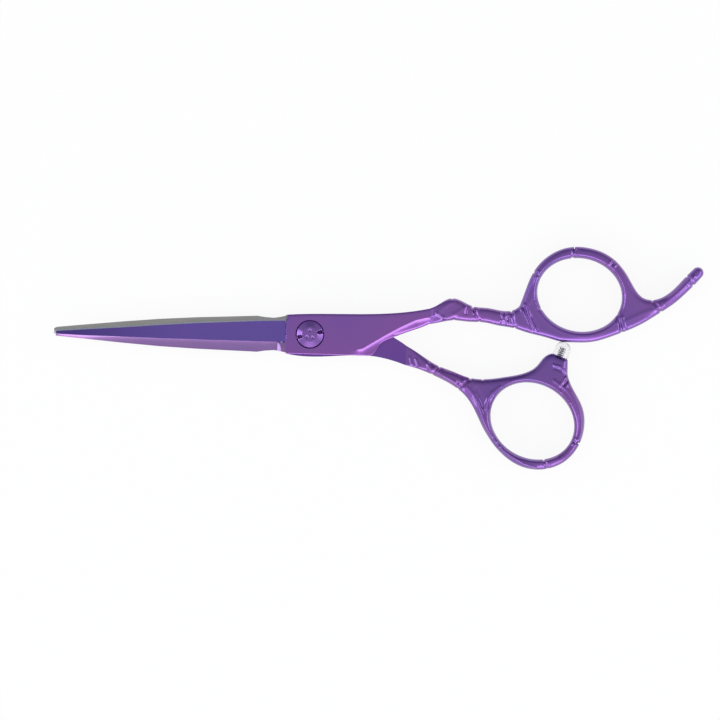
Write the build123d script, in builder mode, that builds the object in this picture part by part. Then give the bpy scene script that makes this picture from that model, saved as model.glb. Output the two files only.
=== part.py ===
from build123d import *
from math import cos, radians, sin
import os

os.makedirs("parts", exist_ok=True)

# Frame: the pivot axis is +Z through the origin, the underside rests on Z = 0,
# the blades point to -X and the handles to +X.  All sizes in millimetres.

# Two members lie one on the other: rear (blade up, thumb ring down) on Z = 0,
# front (blade down, finger ring up) above it.
PLATE_T = 2.4
RIDE_GAP = 0.05
CONTACT_Z = PLATE_T + RIDE_GAP / 2
HANDLE_T = 2 * CONTACT_Z
EDGE_ROUND = 0.5
HOLLOW = 0.15
HOLLOW_SHARE = 0.05
SPINE_BEVEL = 0.25
BEVEL_W = 0.38
BEVEL_H = 0.30

# Blade stations of the front member, tip to heel:
# x, cutting edge y, ridge y, spine y, ridge height, spine height (heights from the inside face).
BLADE = (
    (-67.8, 0.15, -0.55, -0.80, 0.55, 0.45),
    (-67.2, 0.45, -0.62, -1.14, 0.85, 0.60),
    (-66.0, 0.55, -0.70, -1.28, 0.98, 0.62),
    (-60.0, 0.95, -0.97, -1.86, 1.25, 0.68),
    (-50.0, 1.60, -1.20, -2.80, 1.50, 0.75),
    (-40.0, 2.35, -1.50, -3.62, 1.70, 0.80),
    (-30.0, 3.00, -1.70, -4.18, 1.85, 0.85),
    (-20.0, 3.45, -1.90, -4.55, 2.00, 0.90),
    (-14.0, 3.75, -2.00, -4.78, 2.06, 0.95),
    (-12.0, 3.80, -2.02, -4.46, 2.08, 1.05),
    (-9.5, 3.88, -2.05, -4.28, 2.10, 1.20),
    (-7.8, 3.92, -2.08, -4.55, 2.12, 1.40),
    (-6.0, 3.95, -2.10, -5.00, 2.15, 1.60),
)

# Pivot plates: heel face, half widths, and where each cast handle is welded on.
HEEL_X = -6.4
PLATE_HALF = 5.13
FRONT_WELD_X = 31.5
REAR_WELD_X = 25.5

# Pivot hardware, radii and heights.
SHANK_R = 2.0
SHANK_FIT = 0.04
THREAD_R = 1.75
THREAD_FIT = 0.04
THREAD_LEAD = 0.2
HEAD_R = 3.7
HEAD_FIT = 0.10
HEAD_RIM = 0.65
HEAD_DOME = 0.75
HEAD_EDGE = 0.15
SPRING_T = 0.3
GLIDE_T = 0.3
WASHER_INSET = 0.25
WASHER_FIT = 0.08
BUSH_R = 2.7
FRONT_TOP = PLATE_T * 2 + RIDE_GAP
HEAD_Z = FRONT_TOP - HEAD_RIM
WASHER_R = HEAD_R - WASHER_INSET
BORE_Z = HEAD_Z - SPRING_T - GLIDE_T
SLOT_ANGLE = 14
SLOT_W = 0.9
SLOT_L = 1.5
SLOT_DEPTH = 0.7
DIMPLE_R = 0.28
DIMPLE_PITCH = 1.05
DIMPLE_ANGLES = (90, 220, 310)

# Rings: centre, half axes and tilt of the hole, and the wall around it at
# angles counted from the hole's long axis.
FINGER_C = (71.3, 11.35)
FINGER_HOLE = (11.3, 9.67)
FINGER_TILT = -12
FINGER_WALLS = ((188, 3.1), (164, 2.45), (140, 2.6), (116, 2.95), (92, 3.0), (68, 3.05), (44, 2.9), (32, 3.0))
FINGER_FOOT_WALLS = ((-40, 3.4), (-64, 2.9), (-88, 3.1))
THUMB_C = (59.2, -22.2)
THUMB_HOLE = (11.5, 9.76)
THUMB_TILT = -29
THUMB_WALLS = ((72, 3.9), (48, 3.15), (24, 2.6), (0, 2.35), (-24, 2.5), (-48, 2.65), (-72, 2.6),
               (-96, 2.15), (-120, 1.95), (-144, 2.7))
HANDLE_ROUND = 0.9
WEDGE_L = 10.0
WEDGE_REACH = 20

# Stop bumper on the thumb side post: seat centre, lean from +Y, dome size, stud.
SEAT = (66.3, -5.0)
SEAT_W = 4.4
LEAN = 20.9
BUMPER_R = 2.1
POST_R = 2.2
POST_L = 2.0
BUMPER_H = 3.95
BUMPER_EDGE = 0.15
BUMPER_WALL = 1.4
DOME_SHOULDER = 0.55
SHOULDER_SHARE = 0.74
STUD_R = 0.8
STUD_IN = 3.2
STUD_OUT = 2.3

# Bamboo-node grooves across the handles, end to end on the outline.
GROOVE = 0.42
FRONT_NODES = (
    ((37.6, 10.05), (38.1, 4.15)),
    ((43.1, 7.8), (44.8, 3.8)),
    ((53.2, 6.8), (54.2, 2.3)),
    ((59.6, 1.0), (61.2, 7.6)),
    ((59.0, 17.2), (61.6, 15.4)),
    ((69.8, 23.8), (69.3, 21.1)),
    ((80.4, 20.3), (78.4, 18.0)),
    ((82.6, 1.5), (81.2, 6.4)),
    ((90.6, 10.2), (92.9, 7.1)),
    ((99.6, 16.6), (101.4, 14.2)),
)
REAR_NODES = (
    ((34.4, -8.1), (32.4, -10.3)),
    ((42.6, -11.1), (39.3, -14.0)),
    ((45.9, -11.3), (47.9, -18.0)),
    ((49.6, -28.7), (52.0, -27.2)),
    ((63.3, -34.9), (62.3, -32.4)),
    ((71.5, -28.0), (69.0, -27.0)),
    ((68.4, -11.2), (66.4, -13.6)),
)


def on_rim(centre, half_axes, tilt, degrees, wall):
    """The point a wall's width outside an elliptical hole, square to its edge."""
    along = half_axes[0] * cos(radians(degrees))
    across = half_axes[1] * sin(radians(degrees))
    normal = Vector(along / half_axes[0] ** 2, across / half_axes[1] ** 2).normalized()
    spot = Vector(along, across) + normal * wall
    return Vector(*centre) + spot.rotate(Axis.Z, tilt)


def cut_nodes(nodes):
    """Cuts each groove across both faces of the handle in hand, and notches its ends."""
    for (x0, y0), (x1, y1) in nodes:
        a = Vector(x0, y0, 0)
        b = Vector(x1, y1, 0)
        mid = (a + b) * 0.5
        turn = Axis.X.direction.get_signed_angle(b - a, Vector(0, 0, 1))
        for z in (0, HANDLE_T):
            with Locations(Location((mid.X, mid.Y, z), (0, 0, turn))):
                Box((b - a).length, GROOVE, GROOVE, rotation=(45, 0, 0), mode=Mode.SUBTRACT)
        for end in (a, b):
            with Locations(Location((end.X, end.Y, HANDLE_T / 2), (0, 0, turn))):
                Box(GROOVE, GROOVE, HANDLE_T, rotation=(0, 0, 45), mode=Mode.SUBTRACT)


# Both members carry the same blade: the rear one is the front one turned half
# a turn about X, along the line where the two inside faces meet.
with BuildPart() as blade_blank:
    inside = CONTACT_Z + RIDE_GAP / 2
    for x, edge, ridge, spine, crown, back in BLADE:
        with BuildSketch(Plane.YZ.offset(x)):
            with BuildLine():
                outer = Polyline(
                    (edge, inside),
                    (edge - BEVEL_W, inside + BEVEL_H),
                    (ridge, inside + crown),
                    (spine + SPINE_BEVEL, inside + back),
                    (spine, inside + back - SPINE_BEVEL),
                    (spine, inside),
                )
                hollow = min(HOLLOW, HOLLOW_SHARE * (edge - spine))
                ThreePointArc(outer @ 1, ((edge + spine) / 2, inside + hollow), outer @ 0)
            make_face()
    loft(ruled=True)
contact_line = Axis((0, 0, CONTACT_Z), (1, 0, 0))

with BuildPart() as front_blade:
    with BuildSketch(Plane.XY.offset(PLATE_T + RIDE_GAP)):
        with BuildLine():
            Spline((HEEL_X, PLATE_HALF), (10, 5.5), (22, 5.87), (FRONT_WELD_X, 7.2))
            Line((FRONT_WELD_X, 7.2), (FRONT_WELD_X, 3.1))
            Spline((FRONT_WELD_X, 3.1), (26, 1.0), (21, -0.95), (18.3, -2.7), (17.2, -4.6), (15, -5.48))
            Polyline((15, -5.48), (0, -5.25), (HEEL_X, -PLATE_HALF), (HEEL_X, PLATE_HALF))
        make_face()
    extrude(amount=PLATE_T)
    rim = front_blade.edges().group_by(Axis.Z)[-1]
    rim = rim.filter_by(lambda e: HEEL_X + 0.1 < e.center().X < FRONT_WELD_X - 0.1)
    fillet(rim, radius=EDGE_ROUND)
    add(blade_blank.part)
    with Locations((0, 0, PLATE_T + RIDE_GAP)):
        Cylinder(
            SHANK_R + SHANK_FIT,
            PLATE_T,
            align=(Align.CENTER, Align.CENTER, Align.MIN),
            mode=Mode.SUBTRACT,
        )
    with Locations((0, 0, BORE_Z)):
        Cylinder(
            HEAD_R + HEAD_FIT,
            PLATE_T,
            align=(Align.CENTER, Align.CENTER, Align.MIN),
            mode=Mode.SUBTRACT,
        )
front_blade.part.label = "front_blade"
export_step(front_blade.part, "parts/front_blade.step")

with BuildPart() as rear_blade:
    with BuildSketch(Plane.XY):
        with BuildLine():
            Spline((HEEL_X, -PLATE_HALF), (10, -5.45), (17, -5.6), (21, -6.4), (REAR_WELD_X, -7.88))
            Line((REAR_WELD_X, -7.88), (REAR_WELD_X, -2.65))
            Spline((REAR_WELD_X, -2.65), (22.3, -0.6), (20, 0.9), (18.3, 2.7), (17.2, 4.6), (15, 5.48))
            Polyline((15, 5.48), (0, 5.25), (HEEL_X, PLATE_HALF), (HEEL_X, -PLATE_HALF))
        make_face()
    extrude(amount=PLATE_T)
    rim = rear_blade.edges().group_by(Axis.Z)[0]
    rim = rim.filter_by(lambda e: HEEL_X + 0.1 < e.center().X < REAR_WELD_X - 0.1)
    fillet(rim, radius=EDGE_ROUND)
    add(blade_blank.part.rotate(contact_line, 180))
    Cylinder(BUSH_R, 4 * PLATE_T, mode=Mode.SUBTRACT)
rear_blade.part.label = "rear_blade"
export_step(rear_blade.part, "parts/rear_blade.step")

with BuildPart() as front_handle:
    rim = [on_rim(FINGER_C, FINGER_HOLE, FINGER_TILT, *spot) for spot in FINGER_WALLS]
    foot = [on_rim(FINGER_C, FINGER_HOLE, FINGER_TILT, *spot) for spot in FINGER_FOOT_WALLS]
    with BuildSketch(Plane.XY):
        with BuildLine():
            Spline((FRONT_WELD_X, 7.2), (34, 8.4), (37.5, 10.05), (40, 9.4), (43.2, 7.95), (47, 7.58),
                   (51, 6.87), (53.4, 7.0), (55.4, 8.2))
            Spline((55.4, 8.2), *rim, (86, 12.95), (88, 10.85), (90, 10.25), (92, 10.5),
                   (94, 11.42), (98, 14.99), (101.3, 18.45))
            ThreePointArc((101.3, 18.45), (103.5, 18.75), (103.75, 16.7))
            Spline((103.75, 16.7), (102, 14.75), (100, 12.7), (96, 9.12), (92, 6.45), (88, 3.95),
                   *foot, (66, -1.0), (63.5, -0.3), (60, 0.6), (57, 1.35), (54, 2.3),
                   (50, 2.94), (46, 3.75), (42, 3.87), (38, 4.2), (34, 3.55), (FRONT_WELD_X, 3.1))
            Line((FRONT_WELD_X, 3.1), (FRONT_WELD_X, 7.2))
        make_face()
        with Locations(FINGER_C):
            Ellipse(*FINGER_HOLE, rotation=FINGER_TILT, mode=Mode.SUBTRACT)
    extrude(amount=HANDLE_T)
    rims = front_handle.edges().filter_by(lambda e: abs(e.tangent_at(0.5).Z) < 0.1)
    rims = rims.filter_by(lambda e: e.center().X > FRONT_WELD_X + 0.1)
    fillet(rims, radius=HANDLE_ROUND)
    with BuildSketch(Plane.XZ.offset(-WEDGE_REACH)):
        with BuildLine():
            Polyline(
                (FRONT_WELD_X, 0),
                (FRONT_WELD_X, PLATE_T + RIDE_GAP),
                (FRONT_WELD_X + WEDGE_L, 0),
                close=True,
            )
        make_face()
    extrude(amount=WEDGE_REACH, mode=Mode.SUBTRACT)
    cut_nodes(FRONT_NODES)
front_handle.part.label = "front_handle"
export_step(front_handle.part, "parts/front_handle.step")

lean_dir = (sin(radians(LEAN)), cos(radians(LEAN)), 0)
seat_dir = (cos(radians(LEAN)), -sin(radians(LEAN)), 0)
seat_mid = (SEAT[0], SEAT[1], CONTACT_Z)
seat_left = (SEAT[0] - seat_dir[0] * SEAT_W / 2, SEAT[1] - seat_dir[1] * SEAT_W / 2)
seat_right = (SEAT[0] + seat_dir[0] * SEAT_W / 2, SEAT[1] + seat_dir[1] * SEAT_W / 2)
seat_up = Plane(origin=seat_mid, x_dir=seat_dir, z_dir=lean_dir)
seat_axial = Plane(origin=seat_mid, x_dir=seat_dir, z_dir=(0, 0, 1))
seat_axis = Axis(seat_mid, lean_dir)

with BuildPart() as rear_handle:
    rim = [on_rim(THUMB_C, THUMB_HOLE, THUMB_TILT, *spot) for spot in THUMB_WALLS]
    with BuildSketch(Plane.XY):
        with BuildLine():
            Spline((REAR_WELD_X, -2.65), (30, -5.43), (34, -7.85), (38, -9.35), (42, -10.85), (46, -11.3),
                   (52, -10.6), (57, -9.5), (60, -7.8), (62.2, -5.2), seat_left)
            Line(seat_left, seat_right)
            Line(seat_right, (68.35, -9.8))
            Spline((68.35, -9.8), *rim, (43, -18), (41, -15.4), (38, -13.05), (34, -10.95),
                   (30, -9.22), (REAR_WELD_X, -7.88))
            Line((REAR_WELD_X, -7.88), (REAR_WELD_X, -2.65))
        make_face()
        with Locations(THUMB_C):
            Ellipse(*THUMB_HOLE, rotation=THUMB_TILT, mode=Mode.SUBTRACT)
    extrude(amount=HANDLE_T)
    rims = rear_handle.edges().filter_by(lambda e: abs(e.tangent_at(0.5).Z) < 0.1)
    rims = rims.filter_by(lambda e: e.center().X > REAR_WELD_X + 0.1)
    fillet(rims, radius=HANDLE_ROUND)
    with BuildSketch(seat_up.offset(-POST_L)):
        Circle(POST_R)
    extrude(amount=POST_L)
    with BuildSketch(Plane.XZ.offset(WEDGE_REACH)):
        with BuildLine():
            Polyline(
                (REAR_WELD_X, HANDLE_T),
                (REAR_WELD_X, PLATE_T),
                (REAR_WELD_X + WEDGE_L, HANDLE_T),
                close=True,
            )
        make_face()
    extrude(amount=-WEDGE_REACH, mode=Mode.SUBTRACT)
    with BuildSketch(seat_up):
        Circle(STUD_R)
    extrude(amount=-STUD_IN, mode=Mode.SUBTRACT)
    cut_nodes(REAR_NODES)
rear_handle.part.label = "rear_handle"
export_step(rear_handle.part, "parts/rear_handle.step")

with BuildPart() as bumper:
    with BuildSketch(seat_axial):
        with BuildLine():
            Polyline(
                (0, BUMPER_H),
                (0, 0),
                (BUMPER_R - BUMPER_EDGE, 0),
                (BUMPER_R, BUMPER_EDGE),
                (BUMPER_R, BUMPER_WALL),
            )
            Spline(
                (BUMPER_R, BUMPER_WALL),
                (SHOULDER_SHARE * BUMPER_R, BUMPER_H - DOME_SHOULDER),
                (0, BUMPER_H),
                tangents=((0, 1), (-1, 0)),
            )
        make_face()
    revolve(axis=seat_axis)
    with BuildSketch(seat_up):
        Circle(STUD_R)
    extrude(amount=STUD_OUT, mode=Mode.SUBTRACT)
bumper.part.label = "bumper"
export_step(bumper.part, "parts/bumper.step")

with BuildPart() as bumper_stud:
    with BuildSketch(seat_up.offset(-STUD_IN)):
        Circle(STUD_R)
    extrude(amount=STUD_IN + STUD_OUT)
bumper_stud.part.label = "bumper_stud"
export_step(bumper_stud.part, "parts/bumper_stud.step")

with BuildPart() as thread_bush:
    with BuildSketch(Plane.XY):
        Circle(BUSH_R)
        Circle(THREAD_R + THREAD_FIT, mode=Mode.SUBTRACT)
    extrude(amount=PLATE_T)
thread_bush.part.label = "thread_bush"
export_step(thread_bush.part, "parts/thread_bush.step")

with BuildPart() as glide_washer:
    with BuildSketch(Plane.XY.offset(BORE_Z)):
        Circle(WASHER_R)
        Circle(SHANK_R + WASHER_FIT, mode=Mode.SUBTRACT)
    extrude(amount=GLIDE_T)
glide_washer.part.label = "glide_washer"
export_step(glide_washer.part, "parts/glide_washer.step")

with BuildPart() as spring_washer:
    with BuildSketch(Plane.XY.offset(BORE_Z + GLIDE_T)):
        Circle(WASHER_R)
        Circle(SHANK_R, mode=Mode.SUBTRACT)
    extrude(amount=SPRING_T)
spring_washer.part.label = "spring_washer"
export_step(spring_washer.part, "parts/spring_washer.step")

with BuildPart() as pivot_screw:
    with BuildSketch(Plane.XZ):
        with BuildLine():
            body = Polyline(
                (0, FRONT_TOP + HEAD_DOME),
                (0, 0),
                (THREAD_R - THREAD_LEAD, 0),
                (THREAD_R, THREAD_LEAD),
                (THREAD_R, PLATE_T + RIDE_GAP),
                (SHANK_R, PLATE_T + RIDE_GAP),
                (SHANK_R, HEAD_Z),
                (HEAD_R - HEAD_EDGE, HEAD_Z),
                (HEAD_R, HEAD_Z + HEAD_EDGE),
                (HEAD_R, FRONT_TOP),
            )
            RadiusArc(body @ 1, body @ 0, -(HEAD_R**2 + HEAD_DOME**2) / (2 * HEAD_DOME))
        make_face()
    revolve(axis=Axis.Z)
    slot_z = FRONT_TOP + HEAD_DOME - SLOT_DEPTH
    with PolarLocations(HEAD_R - SLOT_L / 2, 2, start_angle=SLOT_ANGLE):
        with Locations((0, 0, slot_z)):
            Box(
                SLOT_L,
                SLOT_W,
                2 * SLOT_DEPTH,
                align=(Align.CENTER, Align.CENTER, Align.MIN),
                mode=Mode.SUBTRACT,
            )
    for angle in DIMPLE_ANGLES:
        spot = (DIMPLE_PITCH * cos(radians(angle)), DIMPLE_PITCH * sin(radians(angle)))
        with Locations((spot[0], spot[1], FRONT_TOP + HEAD_DOME)):
            Sphere(DIMPLE_R, mode=Mode.SUBTRACT)
pivot_screw.part.label = "pivot_screw"
export_step(pivot_screw.part, "parts/pivot_screw.step")
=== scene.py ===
import math

import bmesh
import bpy
import numpy as np
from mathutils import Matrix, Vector, geometry


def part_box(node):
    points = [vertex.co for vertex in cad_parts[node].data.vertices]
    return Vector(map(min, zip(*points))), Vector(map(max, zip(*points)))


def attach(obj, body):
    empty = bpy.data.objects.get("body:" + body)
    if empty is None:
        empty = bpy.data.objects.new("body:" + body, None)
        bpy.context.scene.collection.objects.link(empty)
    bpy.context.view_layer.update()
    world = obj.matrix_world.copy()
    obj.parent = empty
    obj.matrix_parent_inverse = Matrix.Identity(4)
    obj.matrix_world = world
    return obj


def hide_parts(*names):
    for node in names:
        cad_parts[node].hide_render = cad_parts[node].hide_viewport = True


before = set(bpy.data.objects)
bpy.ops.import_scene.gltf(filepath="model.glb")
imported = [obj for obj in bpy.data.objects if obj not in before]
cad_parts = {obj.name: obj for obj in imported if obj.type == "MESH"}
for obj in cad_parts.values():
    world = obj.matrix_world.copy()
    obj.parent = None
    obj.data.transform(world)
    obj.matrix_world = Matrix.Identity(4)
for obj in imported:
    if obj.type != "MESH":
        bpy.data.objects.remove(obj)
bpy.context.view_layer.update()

# Shapes are worked out in millimetres and written to meshes in metres.
MM = 0.001
PLATE_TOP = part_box("front_blade")[1].z / MM
PLATE_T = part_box("rear_blade")[1].z / MM
CONTACT = (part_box("front_blade")[0].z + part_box("rear_blade")[1].z) / 2 / MM
FRONT_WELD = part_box("front_handle")[0].x / MM
REAR_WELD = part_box("rear_handle")[0].x / MM
HEAD_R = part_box("pivot_screw")[1].x / MM
# Where the ground blade meets its plate, and where the coat starts on the
# bare inside faces.
HEEL_X = -6.4
BARE_END = HEEL_X + 1.0
# Degrees by which the bumper and its stud lean from +Y.
LEAN = 20.9


# ---------------------------------------------------------------- outlines

# A slice or outline with fewer points than this is dropped or filled up.
FEW_POINTS = 8


def slice_loops(name, height):
    """The closed outlines where a CAD node crosses a height, longest in x first."""
    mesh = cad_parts[name].data
    mesh.calc_loop_triangles()
    points = np.array([v.co for v in mesh.vertices]) / MM
    key = {}
    weld = np.array([key.setdefault(tuple(p), len(key)) for p in np.round(points, 4)])
    corners = np.zeros((len(key), 3))
    corners[weld] = points
    links = {}
    spots = {}
    for tri in mesh.loop_triangles:
        ids = [int(weld[i]) for i in tri.vertices]
        cuts = []
        for a, b in ((ids[0], ids[1]), (ids[1], ids[2]), (ids[2], ids[0])):
            if a == b or (corners[a][2] < height) == (corners[b][2] < height):
                continue
            edge = (min(a, b), max(a, b))
            low, high = corners[edge[0]], corners[edge[1]]
            share = (height - low[2]) / (high[2] - low[2])
            spots[edge] = (low + (high - low) * share)[:2]
            cuts.append(edge)
        if len(cuts) == 2 and cuts[0] != cuts[1]:
            links.setdefault(cuts[0], []).append(cuts[1])
            links.setdefault(cuts[1], []).append(cuts[0])
    loops = []
    unused = set(links)
    while unused:
        start = min(unused)
        loop = [start]
        unused.discard(start)
        step = next((n for n in links[start] if n in unused), None)
        while step is not None:
            loop.append(step)
            unused.discard(step)
            step = next((n for n in links[step] if n in unused), None)
        if len(loop) > FEW_POINTS:
            loops.append(np.array([spots[e] for e in loop]))
    return sorted(loops, key=lambda p: -np.ptp(p[:, 0]))


def resample(loop, spacing):
    """The same closed outline with evenly spaced points."""
    closed = np.vstack([loop, loop[:1]])
    run = np.r_[0, np.cumsum(np.hypot(*np.diff(closed, axis=0).T))]
    count = max(int(run[-1] / spacing), FEW_POINTS)
    at = np.linspace(0, run[-1], count, endpoint=False)
    return np.c_[np.interp(at, run, closed[:, 0]), np.interp(at, run, closed[:, 1])]


def soften(loop, rounds):
    """A closed outline with its small steps smoothed away."""
    for _ in range(rounds):
        loop = (np.roll(loop, 1, 0) + 2 * loop + np.roll(loop, -1, 0)) / 4
    return loop


def segment_distance(points, a, b):
    """Distance from each point to the segment a-b, and how far along it is nearest."""
    span = b - a
    share = np.clip(((points - a) @ span) / max(span @ span, 1e-12), 0, 1)
    gap = points - (a + share[:, None] * span)
    return np.hypot(gap[:, 0], gap[:, 1]), share


def path_distance(points, path, closed=False):
    """Distance from each point to a polyline, signed + on its left."""
    path = np.asarray(path, float)
    ends = np.roll(path, -1, 0) if closed else path[1:]
    starts = path if closed else path[:-1]
    best = np.full(len(points), 1e9)
    side = np.ones(len(points))
    for a, b in zip(starts, ends):
        gap, _ = segment_distance(points, a, b)
        turn = (b[0] - a[0]) * (points[:, 1] - a[1]) - (b[1] - a[1]) * (points[:, 0] - a[0])
        near = gap < best
        best[near] = gap[near]
        side[near] = np.sign(turn[near])
    return best, side


def inside_mask(points, loops):
    """True for points inside the outer outline and outside the holes."""
    hit = np.zeros(len(points), bool)
    x, y = points[:, 0], points[:, 1]
    for loop in loops:
        for (x0, y0), (x1, y1) in zip(loop, np.roll(loop, -1, 0)):
            if y0 == y1:
                continue
            crosses = (y0 > y) != (y1 > y)
            hit ^= crosses & (x < (x1 - x0) * (y - y0) / (y1 - y0) + x0)
    return hit


def smooth_step(value, low, high):
    """0 at low and 1 at high, with a smooth climb between."""
    t = np.clip((np.asarray(value, float) - low) / (high - low), 0, 1)
    return t * t * (3 - 2 * t)


# ------------------------------------------------------------------ meshes

# How a slab's points are laid out: the rows of its triangular grid, then the
# clearances that keep its triangles well shaped, as shares of the spacing or
# of a ring's depth.
ROW_STEP = 0.866
GRID_CLEAR = 0.6
CREASE_CLEAR = 0.45
RING_CLEAR = 0.96
# A step that tells the inside of an outline from its outside, the margin of the
# triangulation, and the distance in metres within which vertices merge.
PROBE = 0.05
CDT_MARGIN = 1e-5
MERGE_M = 2e-6
# How near a weld a point counts as on it, how near it keeps its place, and the
# most points of a run too short to be a rim.
WELD_NEAR = 0.2
WELD_KEEP = 0.4
SHORT_RUN = 3
# How near a rounded edge comes to its full drop.
ROUND_LIMIT = 0.98


def rim_rings(loops, depths):
    """Rings of points that follow the outlines at the given depths inside them."""
    rings = []
    for loop in loops:
        ahead = np.roll(loop, -1, 0) - np.roll(loop, 1, 0)
        normal = np.c_[-ahead[:, 1], ahead[:, 0]] / np.hypot(*ahead.T)[:, None]
        if not inside_mask(loop[:1] + normal[:1] * PROBE, loops)[0]:
            normal = -normal
        for depth in depths:
            ring = loop + normal * depth
            rings.append(ring[outline_distance(ring, loops) > depth * RING_CLEAR])
    return rings


def inner_grid(loops, spacing, rim_depth, creases):
    """A triangular grid inside the outlines, clear of the rim and the creases."""
    low = loops[0].min(0)
    high = loops[0].max(0)
    rows = np.arange(low[1], high[1], spacing * ROW_STEP)
    columns = np.arange(low[0], high[0], spacing)
    grid = np.array([(x + spacing / 2 * (k % 2), y) for k, y in enumerate(rows) for x in columns])
    grid = grid[inside_mask(grid, loops)]
    grid = grid[outline_distance(grid, loops) > rim_depth + spacing * GRID_CLEAR]
    for path in creases:
        grid = grid[path_distance(grid, path)[0] > spacing * CREASE_CLEAR]
    return grid


def slab(name, loops, top, bottom, rim, spacing, creases=(), sharp=30):
    """A closed solid between two height functions over an outlined area.

    rim lists the distances from the outline at which extra rings of points
    follow it, so that a rounded edge has the faces it needs; creases are
    paths that mesh edges must follow.
    """
    points = []
    edges = []
    for loop in loops:
        start = len(points)
        count = len(loop)
        points.extend(map(tuple, loop))
        edges.extend((start + i, start + (i + 1) % count) for i in range(count))
    for path in creases:
        start = len(points)
        points.extend(map(tuple, path))
        edges.extend((start + i, start + i + 1) for i in range(len(path) - 1))
    inner = [*rim_rings(loops, rim), inner_grid(loops, spacing, rim[-1], creases)]
    points.extend(map(tuple, np.vstack(inner)))
    flat = geometry.delaunay_2d_cdt([Vector(p) for p in points], edges, [], 0, CDT_MARGIN)
    spots = np.array([tuple(v) for v in flat[0]])
    tris = np.array([f for f in flat[2] if len(f) == 3])
    tris = tris[inside_mask(spots[tris].mean(1), loops)].tolist()

    bm = bmesh.new()
    upper = [bm.verts.new((x * MM, y * MM, z * MM)) for (x, y), z in zip(spots, top(spots))]
    lower = [bm.verts.new((x * MM, y * MM, z * MM)) for (x, y), z in zip(spots, bottom(spots))]
    for a, b, c in tris:
        bm.faces.new((upper[a], upper[b], upper[c]))
        bm.faces.new((lower[c], lower[b], lower[a]))
    sides = [side for a, b, c in tris for side in ((a, b), (b, c), (c, a))]
    shared = set(sides)
    for a, b in sides:
        if (b, a) not in shared:
            bm.faces.new((upper[b], upper[a], lower[a], lower[b]))
    bmesh.ops.remove_doubles(bm, verts=bm.verts, dist=MERGE_M)
    loose = [v for v in bm.verts if not v.link_faces]
    bmesh.ops.delete(bm, geom=loose, context="VERTS")
    bm.normal_update()
    return finish_mesh(name, bm, sharp)


def finish_mesh(name, bm, sharp):
    """Turns a bmesh into an object with smooth faces and real corners."""
    mesh = bpy.data.meshes.new(name)
    bm.to_mesh(mesh)
    bm.free()
    mesh.polygons.foreach_set("use_smooth", np.ones(len(mesh.polygons), bool))
    mesh.set_sharp_from_angle(angle=math.radians(sharp))
    piece = bpy.data.objects.new(name, mesh)
    bpy.context.scene.collection.objects.link(piece)
    return piece


def outline_distance(points, loops):
    """Distance from each point to the nearest outline."""
    return np.min([path_distance(points, loop, True)[0] for loop in loops], axis=0)


def free_rims(loops, weld):
    """The outlines as open paths, without the straight face that is welded."""
    paths = []
    for loop in loops:
        welded = np.abs(loop[:, 0] - weld) < WELD_NEAR
        both = welded & np.roll(welded, -1)
        if not both.any():
            paths.append(np.vstack([loop, loop[:1]]))
            continue
        first = int(np.argmax(both)) + 1
        loop = np.roll(loop, -first, 0)
        both = np.roll(both, -first)
        start = 0
        for stop in (*np.flatnonzero(both), len(loop)):
            if stop - start > SHORT_RUN:
                paths.append(loop[start:stop + 1])
            start = stop + 1
    return paths


def rim_distance(points, paths):
    """Distance from each point to the nearest free rim."""
    return np.min([path_distance(points, path)[0] for path in paths], axis=0)


def smooth_outline(loop, spacing, rounds, weld):
    """A resampled, softened outline whose welded face stays straight."""
    even = resample(loop, spacing)
    soft = soften(even, rounds)
    near = np.abs(even[:, 0] - weld) < WELD_KEEP
    soft[near] = even[near]
    return soft


def quarter_round(share, limit):
    """Drop of a rounded edge: 0 where it starts, towards 1 at the rim.

    share says how near the rim is, and stops at a limit under 1, so that the rim
    keeps a small wall.
    """
    return 1 - np.sqrt(1 - np.minimum(share, limit) ** 2)


def circle(radius, count):
    """Points round a circle about the pivot."""
    turn = np.linspace(0, 2 * math.pi, count, endpoint=False)
    return np.c_[radius * np.cos(turn), radius * np.sin(turn)]


def dense(path, spacing):
    """A path with points added so that none are further apart than spacing."""
    path = np.asarray(path, float)
    out = [path[:1]]
    for a, b in zip(path[:-1], path[1:]):
        count = max(int(math.ceil(math.hypot(*(b - a)) / spacing)), 1)
        out.append(a + (b - a) * np.linspace(0, 1, count + 1)[1:, None])
    return np.vstack(out)


def lathe(bm, profile, steps, place):
    """Turns (radius, height) pairs about an axis; place() puts each point in space."""
    rings = []
    for radius, height in profile:
        if radius == 0:
            rings.append([bm.verts.new(place(0, 0, height))])
            continue
        turns = [2 * math.pi * k / steps for k in range(steps)]
        rings.append([bm.verts.new(place(radius * math.cos(turn), radius * math.sin(turn), height))
                      for turn in turns])
    for low, high in zip(rings[:-1], rings[1:]):
        for k in range(steps):
            n = (k + 1) % steps
            corners = (low[k % len(low)], low[n % len(low)], high[n % len(high)], high[k % len(high)])
            face = list(dict.fromkeys(corners))
            if len(face) > 2:
                bm.faces.new(face)


# --------------------------------------------------------------- materials

# Noise that is the same in every direction, and noise drawn out along X, Y or
# Z: how much each axis is squeezed, and the scale per metre.
FINE = 900
EVEN = ((1, 1, 1), FINE)
BRUSHED_X = ((1, 14, 14), 260)
GROUND_X = ((1, 22, 22), 220)
GROUND_Y = ((22, 1, 22), 220)
TURNED_Z = ((1, 1, 30), 300)
# The slow drift of the coat's colour, the washer's mottle and the stud's thread,
# per metre.
DRIFT = 38
MOTTLE = 700
THREAD = 600


def shader(name):
    """A new node material, its tree and its principled shader."""
    material = bpy.data.materials.new(name)
    material.use_nodes = True
    return material, material.node_tree, material.node_tree.nodes["Principled BSDF"]


def node(tree, kind, **values):
    """A new shader node with the given settings."""
    made = tree.nodes.new(kind)
    for key, value in values.items():
        setattr(made, key, value)
    return made


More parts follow.
